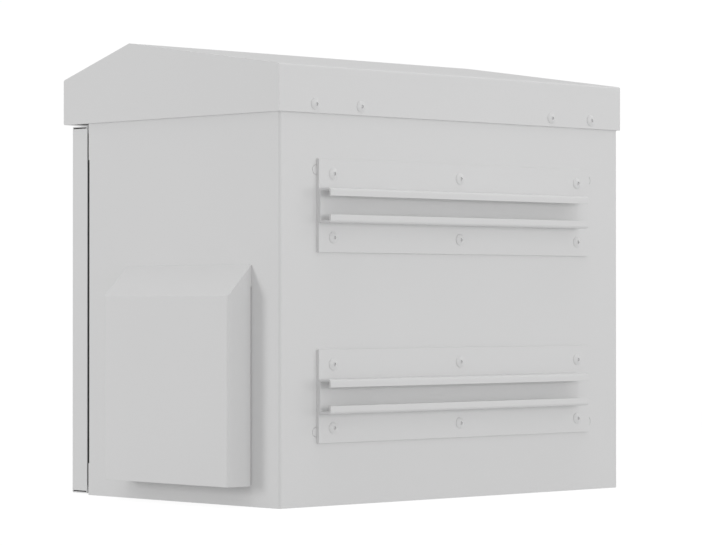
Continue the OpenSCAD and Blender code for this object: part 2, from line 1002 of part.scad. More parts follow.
// Hat section between the side wall and a rail, slotted for setting the rail's depth
module bearer(z) {
    half = bearer_face / 2;
    slot_w = 2 * (screw_r + hole_fit);
    slot_l = bearer_len - 2 * bearer_end;
    color(zinc)
        translate([0, 0, z])
            difference() {
                along_y(bearer_len / 2, bearer_len)
                    union() {
                        difference() {
                            rounded(
                                [[rail_out, -half], [nest_x, -half], [nest_x, half], [rail_out, half]],
                                [rail_fold, 0, 0, rail_fold]
                            );
                            rounded(
                                [
                                    [rail_out + rail_t, -half + rail_t], [nest_x + eps, -half + rail_t],
                                    [nest_x + eps, half - rail_t], [rail_out + rail_t, half - rail_t]
                                ],
                                [fold_r, 0, 0, fold_r]
                            );
                        }
                        for (side = [-1, 1])
                            translate([nest_x - rail_t, side * (half - rail_t / 2) - rail_t / 2])
                                translate([0, side < 0 ? -bearer_lip : 0])
                                    square([rail_t, bearer_lip + rail_t]);
                    }
                translate([rail_out - eps, 0, 0])
                    rotate([90, 0, 90])
                        linear_extrude(rail_t + 2 * eps)
                            slot(slot_l, slot_w);
            }
}

module bearer_right_upper() bearer(bearer_zs[1]);
module bearer_right_lower() bearer(bearer_zs[0]);
module bearer_left_upper() mirror([1, 0, 0]) bearer(bearer_zs[1]);
module bearer_left_lower() mirror([1, 0, 0]) bearer(bearer_zs[0]);

// Angle rail with three square holes to each rack unit
module rack_rail() {
    x0 = rail_opening / 2;
    color(zinc)
        difference() {
            translate([0, 0, rail_z0])
                linear_extrude(rail_z1 - rail_z0)
                    difference() {
                        rounded(
                            [
                                [x0, rail_y], [rail_out, rail_y],
                                [rail_out, rail_y + rail_side], [x0, rail_y + rail_side]
                            ],
                            [0, rail_fold, 0, 0]
                        );
                        rounded(
                            [
                                [x0 - eps, rail_y + rail_t], [rail_out - rail_t, rail_y + rail_t],
                                [rail_out - rail_t, rail_y + rail_side + eps],
                                [x0 - eps, rail_y + rail_side + eps]
                            ],
                            [0, fold_r, 0, 0]
                        );
                    }
            for (u = [0 : units - 1], step = hole_steps)
                translate([
                    x0 + rail_hole_in - rail_hole / 2, rail_y - eps,
                    units_z0 + u * unit_h + step - rail_hole / 2
                ])
                    cube([rail_hole, rail_t + 2 * eps, rail_hole]);
            at_rail_screws(rail_out - rail_t - eps)
                facing("+x")
                    cylinder(r = screw_r + hole_fit, h = rail_t + 2 * eps);
        }
}

module rack_rail_right() rack_rail();
module rack_rail_left() mirror([1, 0, 0]) rack_rail();

rail_nut_h = 4;

module rail_screws() {
    color(zinc)
        both_sides()
            at_rail_screws(rail_out - rail_t)
                facing("-x")
                    button_screw(screw_r, head_r, head_h, 2 * rail_t + rail_nut_h);
}

module rail_nuts() {
    color(zinc)
        both_sides()
            at_rail_screws(rail_out + rail_t)
                facing("+x")
                    hex_nut(screw_r, rail_nut_h);
}

// Outline of the gland plate and its seal
module gland_outline() {
    reach = [entry_w, entry_d] / 2 + [entry_lap, entry_lap];
    round_rect([0, entry_y] - reach, [0, entry_y] + reach, entry_r);
}

module gland_plate() {
    color(paint)
        difference() {
            translate([0, 0, gland_z])
                linear_extrude(gland_t)
                    gland_outline();
            at_gland_screws(gland_z - eps)
                cylinder(r = small_r + hole_fit, h = gland_t + 2 * eps);
        }
}

module gland_seal() {
    color(black)
        difference() {
            translate([0, 0, sheet_t])
                linear_extrude(gland_t)
                    difference() {
                        gland_outline();
                        round_rect(
                            [-entry_w / 2, entry_y - entry_d / 2],
                            [entry_w / 2, entry_y + entry_d / 2],
                            entry_r
                        );
                    }
            at_gland_screws(sheet_t - eps)
                cylinder(r = small_r + hole_fit, h = gland_t + 2 * eps);
        }
}

module gland_screws() {
    color(zinc)
        at_gland_screws(gland_z + gland_t)
            button_screw(small_r, small_head_r, small_head_h, 2 * gland_t + sheet_t - sheet_fit);
}

earth_r = 4;
earth_h = 22;
earth_foot = 1.5;
earth_nut_h = 6;

module at_earth(z) {
    translate([-rail_opening / 2 + 4 * earth_foot + 4 * earth_r, rail_y, z])
        children();
}

module earth_stud() {
    color(steel)
        at_earth(sheet_t)
            union() {
                cylinder(r = earth_r * 1.5, h = earth_foot);
                cylinder(r = earth_r, h = earth_h);
            }
}

module earth_nut() {
    color(steel)
        at_earth(sheet_t + earth_foot)
            hex_nut(earth_r, earth_nut_h);
}

// Hinge leaf on the left side, side = 1 on the body, side = -1 on the door
module hinge_leaf(side, knuckles) {
    part = hinge_len / 3;
    difference() {
        union() {
            translate([-half_w - leaf_t, side > 0 ? pin_y + leaf_relief : pin_y - leaf_w, -hinge_len / 2])
                cube([leaf_t, leaf_w - leaf_relief, hinge_len]);
            for (k = knuckles)
                translate([0, 0, (k - 0.5) * part + knuckle_gap / 2])
                    linear_extrude(part - knuckle_gap) {
                        translate([pin_x, pin_y])
                            circle(knuckle_r);
                        translate([-half_w - leaf_t, side > 0 ? pin_y : pin_y - leaf_relief - eps])
                            square([leaf_t, leaf_relief + eps]);
                    }
        }
        translate([pin_x, pin_y, -hinge_len / 2 - eps])
            cylinder(r = pin_r + run_fit, h = hinge_len + 2 * eps);
        for (dz = [-1, 1] * leaf_screw_dz)
            translate([-half_w - leaf_t - eps, pin_y + side * leaf_screw_y, dz])
                facing("+x")
                    cylinder(r = small_r + hole_fit, h = leaf_t + 2 * eps);
    }
}

module hinge_body_leaves() {
    color(zinc)
        for (z = hinge_zs)
            translate([0, 0, z])
                hinge_leaf(1, [-1, 1]);
}

module hinge_door_leaves() {
    color(zinc)
        for (z = hinge_zs)
            translate([0, 0, z])
                hinge_leaf(-1, [0]);
}

module hinge_pins() {
    pin_head = 2;
    color(steel)
        for (z = hinge_zs)
            translate([pin_x, pin_y, z - hinge_len / 2])
                union() {
                    cylinder(r = pin_r, h = hinge_len);
                    translate([0, 0, hinge_len - knuckle_gap / 2])
                        cylinder(r = knuckle_r - knuckle_fit, h = pin_head);
                }
}

leaf_screw_len = leaf_t + sheet_t + 3;

module hinge_body_screws() {
    color(zinc)
        at_leaf_screws(1)
            translate([-leaf_t, 0, 0])
                facing("-x")
                    button_screw(small_r, small_head_r, small_head_h, leaf_screw_len);
}

module hinge_door_screws() {
    color(zinc)
        at_leaf_screws(-1)
            translate([-leaf_t, 0, 0])
                facing("-x")
                    button_screw(small_r, small_head_r, small_head_h, leaf_screw_len);
}

// Block with its front edges rounded on all four sides, moved inward by inset
module door_form(inset, rear) {
    r = door_r - inset;
    x = half_w - inset;
    y = door_face + inset;
    intersection() {
        translate([0, 0, door_low + inset])
            linear_extrude(door_h - 2 * inset)
                rounded([[-x, y], [x, y], [x, rear], [-x, rear]], [r, r, 0, 0]);
        along_x(body_w)
            rounded(
                [
                    [y, door_low + inset], [rear, door_low + inset],
                    [rear, door_top - inset], [y, door_top - inset]
                ],
                [r, 0, 0, r]
            );
    }
}

module door_panel() {
    window_x = half_w - door_return;
    color(paint)
        difference() {
            door_form(0, door_back);
            door_form(sheet_t, door_back - sheet_t);
            translate([-window_x, door_back - sheet_t - eps, door_low + door_return])
                cube([2 * window_x, sheet_t + 2 * eps, door_h - 2 * door_return]);
            both_sides()
                for (z = [door_low + sheet_t, door_top - sheet_t - seam_gap])
                    translate([half_w - sheet_t - eps, door_face + door_r, z])
                        cube([sheet_t + 2 * eps, door_d - door_r - sheet_t, seam_gap]);
            at_latches(door_face - eps)
                facing("+y")
                    cylinder(r = barrel_r + hole_fit, h = sheet_t + 2 * eps);
            at_leaf_screws(-1)
                translate([-eps, 0, 0])
                    facing("+x")
                        cylinder(r = small_r + hole_fit, h = sheet_t + 2 * eps);
        }
}

module door_seal() {
    x = half_w - seal_in;
    color(black)
        along_y(door_back + seal_t, seal_t)
            difference() {
                round_rect([-x, door_low + seal_in], [x, door_top - seal_in], seal_w);
                round_rect(
                    [-x + seal_w, door_low + seal_in + seal_w],
                    [x - seal_w, door_top - seal_in - seal_w],
                    fold_r
                );
            }
}

module latch_barrels() {
    color(zinc)
        difference() {
            union() {
                at_latches(door_face)
                    facing("+y")
                        cylinder(r = barrel_r, h = barrel_end - door_face);
                at_latches(door_face)
                    facing("-y")
                        cylinder(r1 = bezel_r, r2 = bezel_r - bezel_t / 2, h = bezel_t);
            }
            at_latches(door_face - bezel_t - eps)
                facing("+y")
                    cylinder(r = rotor_r + run_fit, h = barrel_end - door_face + bezel_t + 2 * eps);
            at_latches(door_face - bezel_t - eps)
                facing("+y")
                    cylinder(r = rotor_head_r + run_fit, h = rotor_head_t + eps + run_fit);
        }
}

module latch_nuts() {
    color(zinc)
        at_latches(door_face + sheet_t)
            facing("+y")
                difference() {
                    cylinder(r = bezel_r, h = nut_t, $fn = 6);
                    translate([0, 0, -eps])
                        cylinder(r = barrel_r + run_fit, h = nut_t + 2 * eps);
                }
}

// Turning insert with a square key hole, its rear end squared for the cam
module latch_rotor(z) {
    length = cam_y - rotor_face;
    head = rotor_head_t - (rotor_face - door_face + bezel_t);
    color(steel)
        translate([latch_x, rotor_face, z])
            facing("+y")
                difference() {
                    union() {
                        cylinder(r = rotor_head_r, h = head);
                        cylinder(r = rotor_r, h = length);
                        translate([-cam_square / 2, -cam_square / 2, length - eps])
                            cube([cam_square, cam_square, cam_t + eps]);
                    }
                    translate([-key_w / 2, -key_w / 2, -eps])
                        cube([key_w, key_w, key_depth + eps]);
                    translate([0, 0, length - 3 * cam_t])
                        cylinder(r = cam_screw_r + run_fit, h = 4 * cam_t + eps);
                }
}

// Cam that hangs when open and turns in behind the frame flange
module latch_cam(z) {
    hole = cam_square + 2 * cam_fit;
    color(zinc)
        translate([latch_x, 0, z])
            along_y(cam_y + cam_t, cam_t)
                difference() {
                    union() {
                        translate([0, (cam_w / 2 - cam_reach) / 2])
                            square([cam_w, cam_reach - cam_w / 2], center = true);
                        circle(cam_w / 2);
                        translate([0, cam_w / 2 - cam_reach])
                            circle(cam_w / 2);
                    }
                    square(hole, center = true);
                }
}

module latch_screw(z) {
    color(zinc)
        translate([latch_x, cam_y + cam_t, z])
            facing("+y")
                union() {
                    cylinder(r = cam_square * 0.75, h = cam_t);
                    translate([0, 0, -3 * cam_t])
                        cylinder(r = cam_screw_r, h = 3 * cam_t);
                }
}

module latch_rotor_upper() latch_rotor(latch_zs[1]);
module latch_rotor_lower() latch_rotor(latch_zs[0]);
module latch_cam_upper() latch_cam(latch_zs[1]);
module latch_cam_lower() latch_cam(latch_zs[0]);
module latch_screw_upper() latch_screw(latch_zs[1]);
module latch_screw_lower() latch_screw(latch_zs[0]);

body_wrap();
base_pan();
top_pan();
roof_hood();
roof_screws();
roof_nuts();
bracket_plate_upper();
bracket_plate_lower();
strut_channel_upper();
strut_channel_lower();
bracket_screws();
bracket_nuts();
hole_plugs();
vent_hood();
hood_screws();
filter_frame();
filter_mat();
fan_frame();
fan_rotor();
fan_guard();
fan_screws();
fan_nuts();
bearer_left_upper();
bearer_left_lower();
bearer_right_upper();
bearer_right_lower();
rack_rail_left();
rack_rail_right();
rail_screws();
rail_nuts();
gland_plate();
gland_seal();
gland_screws();
earth_stud();
earth_nut();
hinge_body_leaves();
hinge_pins();
hinge_body_screws();
door_panel();
door_seal();
hinge_door_leaves();
hinge_door_screws();
latch_barrels();
latch_nuts();
latch_rotor_upper();
latch_cam_upper();
latch_screw_upper();
latch_rotor_lower();
latch_cam_lower();
latch_screw_lower();
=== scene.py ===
"""Looks of the wall-mount rack cabinet: powder coat, plated metal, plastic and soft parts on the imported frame."""

import math

import bmesh
import bpy
from bpy.props import FloatProperty, FloatVectorProperty, PointerProperty
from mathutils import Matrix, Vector, noise


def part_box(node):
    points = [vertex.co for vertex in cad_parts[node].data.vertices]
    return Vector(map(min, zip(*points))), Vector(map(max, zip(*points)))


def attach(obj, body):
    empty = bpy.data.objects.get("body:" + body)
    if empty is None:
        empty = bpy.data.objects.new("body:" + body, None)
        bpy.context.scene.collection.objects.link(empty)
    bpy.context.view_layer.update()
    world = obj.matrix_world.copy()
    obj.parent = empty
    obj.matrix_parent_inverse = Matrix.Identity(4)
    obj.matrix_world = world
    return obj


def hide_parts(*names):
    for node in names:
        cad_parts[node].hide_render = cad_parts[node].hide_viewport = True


bl_info = {
    "name": "Wall rack cabinet looks",
    "version": (1, 0, 0),
    "blender": (4, 5, 0),
    "location": "View3D > Sidebar > Cabinet",
    "description": "Finishes and soft parts of the wall-mount rack cabinet, and its studio",
    "category": "Object",
}

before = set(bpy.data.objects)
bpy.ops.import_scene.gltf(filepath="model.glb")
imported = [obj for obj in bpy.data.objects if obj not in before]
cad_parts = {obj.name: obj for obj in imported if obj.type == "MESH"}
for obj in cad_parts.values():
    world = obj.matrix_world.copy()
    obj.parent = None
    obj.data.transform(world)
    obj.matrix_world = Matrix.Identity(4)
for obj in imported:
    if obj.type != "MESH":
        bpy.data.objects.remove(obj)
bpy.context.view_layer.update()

# Scene units are metres
MM = 0.001
FULL_TURN = 2 * math.pi
# Bands in a metre that a wave texture of Scale 1 draws
WAVE_BANDS = 20 / FULL_TURN
# Width of the camera's sensor in millimetres, and how far the camera sees in metres
SENSOR_WIDTH = 36
SIGHT = 200
# Corners of the round studio floor
FLOOR_STEPS = 96

# Points nearer than this are one, and faces within this angle are one flat face
WELD_GAP = 0.001 * MM
FLAT_ANGLE = math.radians(0.5)
# Angle between two faces from which their edge is rounded, and the name that marks such edges
SHARP_ANGLE = math.radians(40)
SOFT_EDGE = "soft_edge"
# Area under which a face is a sliver of a fold relief, too small to be rounded
SLIVER_AREA = 5 * MM ** 2
# Weight of the large faces in the normals, from 1 to 100
FLAT_WEIGHT = 90
# Corner radius of a strip's middle line over its half width; just over 1 keeps the inner corner open
CORNER_RATIO = 1.01

# Middle of the cabinet's height, at which the soft boxes aim
LIGHT_AIM = (0, 0, 0.28)
# Name, place, width and height of each soft box, and the setting that holds its power
SOFT_BOXES = (
    ("Side soft box", (3.25, -1.78, 0.52), 0.9, 1.0, "side_power"),
    ("Back soft box", (-3.2, 2.6, 2.4), 1.6, 1.6, "back_power"),
    ("Rear soft box", (0.3, 4.2, 0.6), 1.6, 1.6, "rear_power"),
    ("Low soft box", (-2.6, 3.2, 0.5), 1.6, 1.0, "low_power"),
    ("Top soft box", (0.3, 0.3, 4.0), 2.4, 2.4, "top_power"),
)


# Settings


class PaintSettings(bpy.types.PropertyGroup):
    """The powder coat and the softness of the edges."""

    color: FloatVectorProperty(
        name="Coat colour", description="Pale grey of the powder coat",
        subtype="COLOR", size=4, min=0, max=1, default=(0.78, 0.78, 0.781, 1),
    )
    roughness: FloatProperty(
        name="Coat roughness", description="Mean roughness of the powder coat",
        subtype="FACTOR", min=0, max=1, default=0.52,
    )
    mottle: FloatProperty(
        name="Mottle", description="Share by which the coat's tone wanders over a wall",
        subtype="FACTOR", min=0, max=0.2, default=0.012,
    )
    peel_size: FloatProperty(
        name="Peel size", description="Width of the ripples that the coat cures to",
        unit="LENGTH", min=0.0002, default=1.6 * MM,
    )
    peel_depth: FloatProperty(
        name="Peel depth", description="Height of the ripples that the coat cures to",
        unit="LENGTH", min=0, default=0.02 * MM,
    )
    edge_round: FloatProperty(
        name="Edge round", description="Radius on the edges of sheets and mouldings",
        unit="LENGTH", min=0, default=0.35 * MM,
    )


class MetalSettings(bpy.types.PropertyGroup):
    """Zinc plate on the inner metalwork, bare steel on pins and latch inserts, and the earth stud."""

    zinc_color: FloatVectorProperty(
        name="Zinc colour", description="Tone of the zinc plate",
        subtype="COLOR", size=4, min=0, max=1, default=(0.60, 0.61, 0.63, 1),
    )
    zinc_roughness: FloatProperty(
        name="Zinc roughness", description="Mean roughness of the zinc plate",
        subtype="FACTOR", min=0, max=1, default=0.38,
    )
    spangle_size: FloatProperty(
        name="Spangle size", description="Width of the crystals in the zinc plate",
        unit="LENGTH", min=0.001, default=9 * MM,
    )
    steel_color: FloatVectorProperty(
        name="Steel colour", description="Tone of the bare turned steel",
        subtype="COLOR", size=4, min=0, max=1, default=(0.56, 0.56, 0.57, 1),
    )
    steel_roughness: FloatProperty(
        name="Steel roughness", description="Mean roughness of the bare turned steel",
        subtype="FACTOR", min=0, max=1, default=0.26,
    )
    line_pitch: FloatProperty(
        name="Line pitch", description="Distance between the tool lines on turned steel",
        unit="LENGTH", min=0.00005, default=1.5708 * MM,
    )
    hinge_edge: FloatProperty(
        name="Hinge edge", description="Radius on the edges of the hinge leaves",
        unit="LENGTH", min=0, default=0.15 * MM,
    )
    latch_edge: FloatProperty(
        name="Latch edge", description="Radius on the edges of the latches' barrels, nuts and cams",
        unit="LENGTH", min=0, default=0.2 * MM,
    )
    stud_pitch: FloatProperty(
        name="Stud pitch", description="Pitch of the earth stud's thread",
        unit="LENGTH", min=0.0005, default=1.25 * MM,
    )
    stud_radius: FloatProperty(
        name="Stud radius", description="Outer radius of the earth stud's thread",
        unit="LENGTH", min=0.001, default=4 * MM,
    )
    stud_foot: FloatProperty(
        name="Stud foot", description="Height of the earth stud's welded foot",
        unit="LENGTH", min=0.0005, default=1.5 * MM,
    )


class SoftSettings(bpy.types.PropertyGroup):
    """Plastic, rubber and fleece, with the sections of the seals."""

    plastic_color: FloatVectorProperty(
        name="Plastic colour", description="Tone of the fan's moulded plastic",
        subtype="COLOR", size=4, min=0, max=1, default=(0.018, 0.018, 0.02, 1),
    )
    rubber_color: FloatVectorProperty(
        name="Rubber colour", description="Tone of the foam seals",
        subtype="COLOR", size=4, min=0, max=1, default=(0.022, 0.022, 0.023, 1),
    )
    fleece_color: FloatVectorProperty(
        name="Fleece colour", description="Tone of the filter mat",
        subtype="COLOR", size=4, min=0, max=1, default=(0.78, 0.78, 0.75, 1),
    )
    seal_width: FloatProperty(
        name="Door seal width", description="Width of the foam strip on the door's return",
        unit="LENGTH", min=0.002, default=12 * MM,
    )
    gasket_width: FloatProperty(
        name="Gasket width", description="Width of the gasket under the gland plate",
        unit="LENGTH", min=0.002, default=16 * MM,
    )
    tuft_depth: FloatProperty(
        name="Tuft depth", description="Depth of the dimples between the filter's tufts",
        unit="LENGTH", min=0, default=1.1 * MM,
    )
    tuft_size: FloatProperty(
        name="Tuft size", description="Width of the filter's tufts",
        unit="LENGTH", min=0.001, default=7 * MM,
    )


class StageSettings(bpy.types.PropertyGroup):
    """Camera, floor and studio light."""

    camera_place: FloatVectorProperty(
        name="Camera place", description="Where the camera stands, in the cabinet's frame",
        subtype="TRANSLATION", unit="LENGTH", size=3, default=(2.71056, 2.82902, 0.24558),
    )
    camera_aim: FloatVectorProperty(
        name="Camera aim", description="Direction in which the camera looks",
        subtype="DIRECTION", size=3, default=(-0.690097, -0.723661, 0.009006),
    )
    lens: FloatProperty(
        name="Lens", description="Focal length on a 36 mm sensor",
        unit="CAMERA", min=20, default=155.94,
    )
    sky: FloatProperty(
        name="Studio sky", description="Strength of the even light from all round",
        min=0, default=0.52,
    )
    backdrop: FloatProperty(
        name="Backdrop", description="Brightness of the white backdrop behind the floor",
        min=0, default=1.02,
    )
    floor_color: FloatVectorProperty(
        name="Floor colour", description="Tone of the studio floor, which its own glow makes pale",
        subtype="COLOR", size=4, min=0, max=1, default=(0.14, 0.14, 0.14, 1),
    )
    floor_glow: FloatProperty(
        name="Floor glow", description="Brightness of the backlit floor as the camera sees it",
        min=0, default=0.93,
    )
    floor_fill: FloatProperty(
        name="Floor fill", description="Light that the backlit floor throws up at the cabinet",
        min=0, default=0.455,
    )
    floor_radius: FloatProperty(
        name="Floor radius", description="Radius of the studio floor",
        unit="LENGTH", min=1, default=3.0,
    )
    floor_drop: FloatProperty(
        name="Floor drop", description="Air between the cabinet's underside and the floor",
        unit="LENGTH", min=0, default=0.2 * MM,
    )
    side_power: FloatProperty(
        name="Side light", description="Power of the soft box on the vent hood's side",
        subtype="POWER", min=0, default=24.7,
    )
    back_power: FloatProperty(
        name="Back light", description="Power of the high soft box behind the hinges' side",
        subtype="POWER", min=0, default=11.8,
    )
    rear_power: FloatProperty(
        name="Rear light", description="Power of the soft box straight behind the cabinet",
        subtype="POWER", min=0, default=25.0,
    )
    low_power: FloatProperty(
        name="Low light", description="Power of the low soft box behind the hinges' side",
        subtype="POWER", min=0, default=10.4,
    )
    top_power: FloatProperty(
        name="Top light", description="Power of the soft box over the cabinet",
        subtype="POWER", min=0, default=35.0,
    )


# Node helpers


def add_node(tree, kind, inputs=None, **settings):
    """Adds a node, sets its fields, and links or sets its inputs."""
    node = tree.nodes.new(kind)
    for key, value in settings.items():
        setattr(node, key, value)
    for key, value in (inputs or {}).items():
        if isinstance(value, bpy.types.NodeSocket):
            tree.links.new(value, node.inputs[key])
        else:
            node.inputs[key].default_value = value
    return node


def math_node(tree, operation, first, second):
    """The sum, difference, product or quotient of two values or sockets."""
    return add_node(tree, "ShaderNodeMath", {0: first, 1: second}, operation=operation).outputs["Value"]


def spread(tree, value, low, high):
    """Maps a pattern's 0 to 1 onto low to high."""
    node = add_node(tree, "ShaderNodeMapRange", {"Value": value, "To Min": low, "To Max": high})
    return node.outputs["Result"]


def tinted(tree, color, shade):
    """A colour multiplied by a grey shade."""
    node = add_node(tree, "ShaderNodeVectorMath", {0: color, "Scale": shade}, operation="SCALE")
    return node.outputs["Vector"]


def new_group(name, inputs):
    """A shader node group with the given inputs, and Color, Roughness and Height as outputs."""
    tree = bpy.data.node_groups.new(name, "ShaderNodeTree")
    for label, kind, value in inputs:
        socket = tree.interface.new_socket(label, in_out="INPUT", socket_type=kind)
        socket.default_value = value
    outputs = {"Color": "NodeSocketColor", "Roughness": "NodeSocketFloat", "Height": "NodeSocketFloat"}
    for label, kind in outputs.items():
        tree.interface.new_socket(label, in_out="OUTPUT", socket_type=kind)
    return tree, tree.nodes.new("NodeGroupInput").outputs


def close_group(tree, color, roughness, height):
    """Ends a surface group with its three outputs."""
    add_node(tree, "NodeGroupOutput", {"Color": color, "Roughness": roughness, "Height": height})
    return tree


def surface_inputs(size):
    """The inputs that every surface group has."""
    return (
        ("Color", "NodeSocketColor", (0.5, 0.5, 0.5, 1)),
        ("Roughness", "NodeSocketFloat", 0.5),
        ("Variation", "NodeSocketFloat", 0.02),
        ("Size", "NodeSocketFloat", size),
    )


def place(tree):
    """Coordinates in metres, fixed to the piece."""
    return add_node(tree, "ShaderNodeTexCoord").outputs["Object"]


def noise_at(tree, vector, scale, detail=2.0, distortion=0.0):
    """A noise pattern from 0 to 1; scale counts its waves in a metre."""
    node = add_node(
        tree, "ShaderNodeTexNoise",
        {"Vector": vector, "Scale": scale, "Detail": detail, "Distortion": distortion},
    )
    return node.outputs["Fac"]


def fineness(tree, given):
    """How often a pattern of the group's Size repeats in a metre."""
    return math_node(tree, "DIVIDE", 1.0, given["Size"])


def toned(tree, given, pattern):
    """The group's Color, darker and lighter by its Variation as the pattern goes."""
    low = math_node(tree, "SUBTRACT", 1.0, given["Variation"])
    high = math_node(tree, "ADD", 1.0, given["Variation"])
    return tinted(tree, given["Color"], spread(tree, pattern, low, high))


def glossed(tree, given, pattern, low, high):
    """The group's Roughness, moved between low and high as the pattern goes."""
    return math_node(tree, "ADD", given["Roughness"], spread(tree, pattern, low, high))


# Shared surface groups


def powder_coat_group():
    """Orange peel ripples, a fine tooth on top of them, and a slow drift of tone."""
    tree, given = new_group("Powder coat", surface_inputs(1.6 * MM))
    where = place(tree)
    frequency = fineness(tree, given)
    peel = noise_at(tree, where, frequency, detail=1.5)
    tooth = noise_at(tree, where, math_node(tree, "MULTIPLY", frequency, 5.0), detail=1.0)
    drift = noise_at(tree, where, scale=7.0, detail=3.0)
    color = toned(tree, given, drift)
    roughness = glossed(tree, given, tooth, -0.05, 0.05)
    height = math_node(tree, "ADD", peel, math_node(tree, "MULTIPLY", tooth, 0.25))
    return close_group(tree, color, roughness, height)


def spangle_group():
    """Zinc crystals of slightly different tone and gloss, with fine drawn scratches."""
    tree, given = new_group("Zinc spangle", surface_inputs(9 * MM))
    where = place(tree)
    frequency = fineness(tree, given)
    warp = noise_at(tree, where, math_node(tree, "MULTIPLY", frequency, 2.0))
    shift = tinted(tree, (1, 1, 1), math_node(tree, "MULTIPLY", warp, 4 * MM))
    bent = add_node(tree, "ShaderNodeVectorMath", {0: where, 1: shift}, operation="ADD").outputs["Vector"]
    cells = add_node(tree, "ShaderNodeTexVoronoi", {"Vector": bent, "Scale": frequency})
    tone = add_node(tree, "ShaderNodeSeparateColor", {"Color": cells.outputs["Color"]}).outputs["Red"]
    color = toned(tree, given, tone)
    scratch = noise_at(tree, where, scale=2600.0)
    gloss = glossed(tree, given, tone, -0.06, 0.06)
    roughness = math_node(tree, "ADD", gloss, spread(tree, scratch, -0.05, 0.05))
    return close_group(tree, color, roughness, scratch)


def turned_group():
    """Fine tool lines round a turned piece."""
    tree, given = new_group("Turned lines", surface_inputs(1.5708 * MM))
    where = place(tree)
    scale = math_node(tree, "DIVIDE", fineness(tree, given), WAVE_BANDS)
    lines = add_node(
        tree, "ShaderNodeTexWave", {"Vector": where, "Scale": scale, "Distortion": 1.2, "Detail": 2.0},
        bands_direction="Z",
    ).outputs["Fac"]
    smear = noise_at(tree, where, scale=180.0)
    color = toned(tree, given, smear)
    roughness = glossed(tree, given, lines, -0.06, 0.08)
    return close_group(tree, color, roughness, lines)


def moulded_group():
    """Spark-eroded grain of a moulded plastic face."""
    tree, given = new_group("Moulded grain", surface_inputs(0.5 * MM))
    where = place(tree)
    frequency = fineness(tree, given)
    grain = noise_at(tree, where, frequency, detail=3.0)
    flow = noise_at(tree, where, scale=40.0, distortion=0.6)
    color = toned(tree, given, flow)
    roughness = glossed(tree, given, grain, -0.08, 0.08)
    return close_group(tree, color, roughness, grain)


def foam_group():
    """Closed foam cells with a dull skin."""
    tree, given = new_group("Foam cells", surface_inputs(0.7 * MM))
    where = place(tree)
    frequency = fineness(tree, given)
    cells = add_node(tree, "ShaderNodeTexVoronoi", {"Vector": where, "Scale": frequency}).outputs["Distance"]
    skin = noise_at(tree, where, scale=120.0)
    color = toned(tree, given, skin)
    roughness = glossed(tree, given, cells, -0.08, 0.06)
    return close_group(tree, color, roughness, cells)


def fleece_group():
    """Tangled fibres, with painted shade: the colour is darker in the dents and paler where the fibres stand proud.
    """
    tree, given = new_group("Fleece fibres", surface_inputs(0.5 * MM))
    where = place(tree)
    frequency = fineness(tree, given)
    tangle = noise_at(tree, where, math_node(tree, "MULTIPLY", frequency, 0.3), detail=5.0, distortion=3.0)
    fibre = noise_at(tree, where, frequency, detail=4.0, distortion=6.0)
    relief_and_painted_shade = math_node(tree, "MULTIPLY", math_node(tree, "ADD", tangle, fibre), 0.5)
    # Painted shade: the colour follows the fibres' relief, darker in the dents and lighter on the proud fibres
    color = toned(tree, given, relief_and_painted_shade)
    roughness = glossed(tree, given, fibre, -0.05, 0.05)
    return close_group(tree, color, roughness, relief_and_painted_shade)


GROUPS = {
    "Powder coat": powder_coat_group,
    "Zinc spangle": spangle_group,
    "Turned lines": turned_group,
    "Moulded grain": moulded_group,
    "Foam cells": foam_group,
    "Fleece fibres": fleece_group,
}


# Materials


def surface(name, group, color, roughness, variation, size, depth, **shader):
    """A Principled material fed by one surface group; shader sets the shader's own sockets."""
    found = bpy.data.materials.get(name)
    if found:
        return found
    material = bpy.data.materials.new(name)
    material.use_nodes = True
    tree = material.node_tree
    tree.nodes.clear()
    pattern = add_node(
        tree, "ShaderNodeGroup",
        {"Color": color, "Roughness": roughness, "Variation": variation, "Size": size},
        node_tree=bpy.data.node_groups.get(group) or GROUPS[group](),
    )
    bump = add_node(
        tree, "ShaderNodeBump", {"Height": pattern.outputs["Height"], "Distance": depth, "Strength": 1.0}
    )
    principled = add_node(
        tree, "ShaderNodeBsdfPrincipled",
        {
            "Base Color": pattern.outputs["Color"], "Roughness": pattern.outputs["Roughness"],
            "Normal": bump.outputs["Normal"], **shader,
        },
    )
    add_node(tree, "ShaderNodeOutputMaterial", {"Surface": principled.outputs["BSDF"]})
    return material


def wall_paint():
    """Pale powder coat of all the sheets that show."""
    paint = bpy.context.scene.cabinet_paint
    return surface(
        "Grey powder coat", "Powder coat", paint.color, paint.roughness,
        variation=paint.mottle, size=paint.peel_size, depth=paint.peel_depth,
    )


def screw_paint():
    """The same coat, smoother and with finer ripples on small heads."""
    paint = bpy.context.scene.cabinet_paint
    return surface(
        "Coated screw", "Powder coat", paint.color, roughness=paint.roughness - 0.08,
        variation=paint.mottle, size=paint.peel_size / 2, depth=paint.peel_depth / 2,
    )


def zinc_plate():
    """Plate on the inner sheets, nuts and screws, the hinge leaves and the latches."""
    metal = bpy.context.scene.cabinet_metal
    return surface(
        "Zinc plate", "Zinc spangle", metal.zinc_color, metal.zinc_roughness,
        variation=0.07, size=metal.spangle_size, depth=0.01 * MM, Metallic=1.0,
    )


def turned_steel():
    """Bare steel of the hinge pins, the latch inserts and the earth stud."""
    metal = bpy.context.scene.cabinet_metal
    return surface(
        "Turned steel", "Turned lines", metal.steel_color, metal.steel_roughness,
        variation=0.06, size=metal.line_pitch, depth=0.01 * MM, Metallic=1.0,
    )


def fan_plastic():
    """Dark moulded plastic of the fan and its filter frame."""
    soft = bpy.context.scene.cabinet_soft
    return surface(
        "Moulded plastic", "Moulded grain", soft.plastic_color,
        roughness=0.5, variation=0.12, size=0.5 * MM, depth=0.02 * MM,
    )


